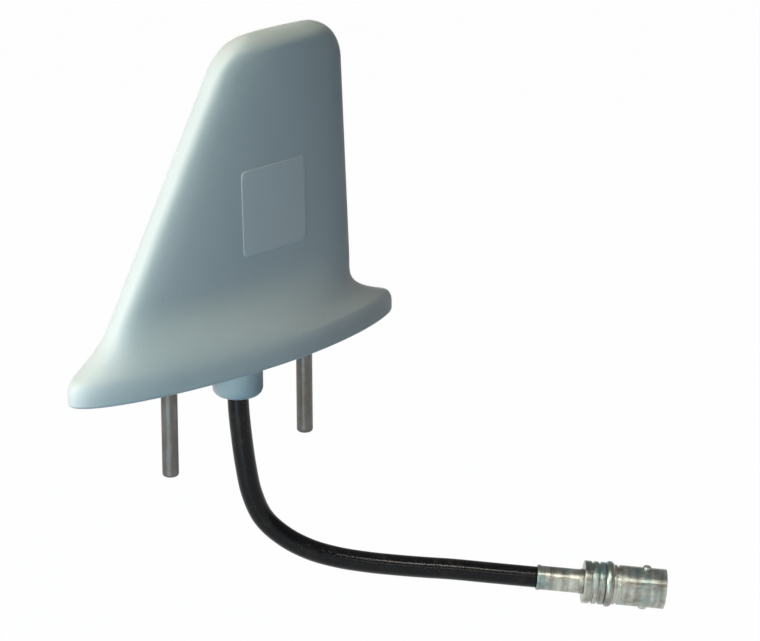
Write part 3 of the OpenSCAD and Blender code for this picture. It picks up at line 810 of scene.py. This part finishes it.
def seen_directly(tree):
    """1 for rays that show the background: from the camera, in reflections and through glass."""
    path = tree.nodes.new("ShaderNodeLightPath")
    total = path.outputs["Is Camera Ray"]
    for name in ("Is Glossy Ray", "Is Transmission Ray"):
        add = tree.nodes.new("ShaderNodeMath")
        add.operation = "MAXIMUM"
        tree.links.new(total, add.inputs[0])
        tree.links.new(path.outputs[name], add.inputs[1])
        total = add.outputs[0]
    return total


def make_floor():
    """Pale floor that shows almost white, keeps a shadow and can be seen through from below."""
    half = FLOOR_SIZE / 2
    mesh = bpy.data.meshes.new("floor")
    corners = [(x * half, y * half, FLOOR_Z) for x, y in ((-1, -1), (1, -1), (1, 1), (-1, 1))]
    mesh.from_pydata(corners, [], [(0, 1, 2, 3)])
    floor = bpy.data.objects.new("floor", mesh)
    bpy.context.scene.collection.objects.link(floor)
    material = bpy.data.materials.new("pale_floor")
    material.use_nodes = True
    tree = material.node_tree
    tree.nodes.clear()
    output = tree.nodes.new("ShaderNodeOutputMaterial")
    matt = tree.nodes.new("ShaderNodeBsdfDiffuse")
    matt.inputs["Color"].default_value = FLOOR_COLOUR
    white = tree.nodes.new("ShaderNodeEmission")
    white.inputs["Strength"].default_value = FLOOR_WHITE
    share = tree.nodes.new("ShaderNodeMath")
    share.operation = "MULTIPLY"
    share.inputs[1].default_value = FLOOR_WHITE_SHARE
    top = tree.nodes.new("ShaderNodeMixShader")
    tree.links.new(seen_directly(tree), share.inputs[0])
    tree.links.new(share.outputs[0], top.inputs["Fac"])
    tree.links.new(matt.outputs[0], top.inputs[1])
    tree.links.new(white.outputs[0], top.inputs[2])
    clear = tree.nodes.new("ShaderNodeBsdfTransparent")
    side = tree.nodes.new("ShaderNodeMixShader")
    tree.links.new(tree.nodes.new("ShaderNodeNewGeometry").outputs["Backfacing"], side.inputs["Fac"])
    tree.links.new(top.outputs[0], side.inputs[1])
    tree.links.new(clear.outputs[0], side.inputs[2])
    tree.links.new(side.outputs[0], output.inputs["Surface"])
    mesh.materials.append(material)


def stage_ramp(tree, stops):
    ramp = tree.nodes.new("ShaderNodeValToRGB")
    for element, (at, colour) in zip(ramp.color_ramp.elements, stops):
        element.position = at
        element.color = colour
    return ramp


def make_world():
    """White background that greys overhead, with a soft bluish light from one side."""
    world = bpy.data.worlds.new("studio")
    bpy.context.scene.world = world
    world.use_nodes = True
    tree = world.node_tree
    tree.nodes.clear()
    direction = tree.nodes.new("ShaderNodeTexCoord").outputs["Generated"]
    facing = tree.nodes.new("ShaderNodeVectorMath")
    facing.operation = "DOT_PRODUCT"
    facing.inputs[1].default_value = AMBIENT_SIDE
    tree.links.new(direction, facing.inputs[0])
    glow = stage_ramp(tree, AMBIENT_STOPS)
    tree.links.new(facing.outputs["Value"], glow.inputs["Fac"])
    ambient = tree.nodes.new("ShaderNodeBackground")
    ambient.inputs["Strength"].default_value = AMBIENT_STRENGTH
    tree.links.new(glow.outputs["Color"], ambient.inputs["Color"])
    shown = tree.nodes.new("ShaderNodeBackground")
    shown.inputs["Strength"].default_value = 1
    switch = tree.nodes.new("ShaderNodeMixShader")
    tree.links.new(seen_directly(tree), switch.inputs["Fac"])
    tree.links.new(ambient.outputs[0], switch.inputs[1])
    tree.links.new(shown.outputs[0], switch.inputs[2])
    parts = tree.nodes.new("ShaderNodeSeparateXYZ")
    tree.links.new(direction, parts.inputs[0])
    sky = stage_ramp(tree, SKY_STOPS)
    tree.links.new(parts.outputs["Z"], sky.inputs["Fac"])
    tree.links.new(sky.outputs["Color"], shown.inputs["Color"])
    tree.links.new(switch.outputs[0], tree.nodes.new("ShaderNodeOutputWorld").inputs["Surface"])


def soft_light(name, place, target, size, watts, colour, spread_deg):
    lamp = bpy.data.lights.new(name, "AREA")
    lamp.size = size
    lamp.energy = watts
    lamp.color = colour
    lamp.spread = math.radians(spread_deg)
    light = bpy.data.objects.new(name, lamp)
    light.location = place
    light.rotation_euler = (Vector(target) - Vector(place)).to_track_quat("-Z", "Y").to_euler()
    bpy.context.scene.collection.objects.link(light)


def make_lights():
    for name, settings in LAMPS.items():
        soft_light(name, *settings)


make_camera()
cable, cable_path = make_cable()
ferrule = make_ferrule()
jack = make_jack_body()
pins = make_pins()
radome = make_radome()
label = make_label()
boss = make_boss()
studs = make_studs()

paint_finish().give(radome)
label_finish().give(label)
boss_finish().give(boss)
jacket_finish().give(cable)
nickel_finish().give(jack, ferrule, pins)
steel_finish().give(studs)
plain_metal("brushed_plate", (0.6, 0.61, 0.62), (0.72, 0.73, 0.74), 0.36, (0.06, 1, 1)).give(
    nodes["base_plate"])
plain_metal("sheet_brass", (0.62, 0.47, 0.2), (0.78, 0.62, 0.3), 0.3, (0.1, 1, 1)).give(
    nodes["ground_lug"], nodes["radiating_element"])
plain_metal("gold_contact", (0.72, 0.52, 0.2), (0.85, 0.66, 0.3), 0.22).give(nodes["socket_contact"])
plain_metal("copper_wire", (0.62, 0.33, 0.19), (0.78, 0.45, 0.28), 0.3, (1, 1, 0.1)).give(
    nodes["feed_conductor"], nodes["connector_conductor"])
braid_finish().give(nodes["feed_braid"], nodes["connector_braid"])
plain_plastic("white_insulator", (0.78, 0.78, 0.74), (0.84, 0.84, 0.8), 0.45).give(
    nodes["feed_dielectric"], nodes["connector_dielectric"], nodes["connector_insulator"])
plain_plastic("laminate_support", (0.42, 0.3, 0.14), (0.58, 0.43, 0.22), 0.6).give(
    nodes["element_supports"])

make_floor()
make_world()
make_lights()
bpy.context.scene.view_settings.view_transform = "Standard"
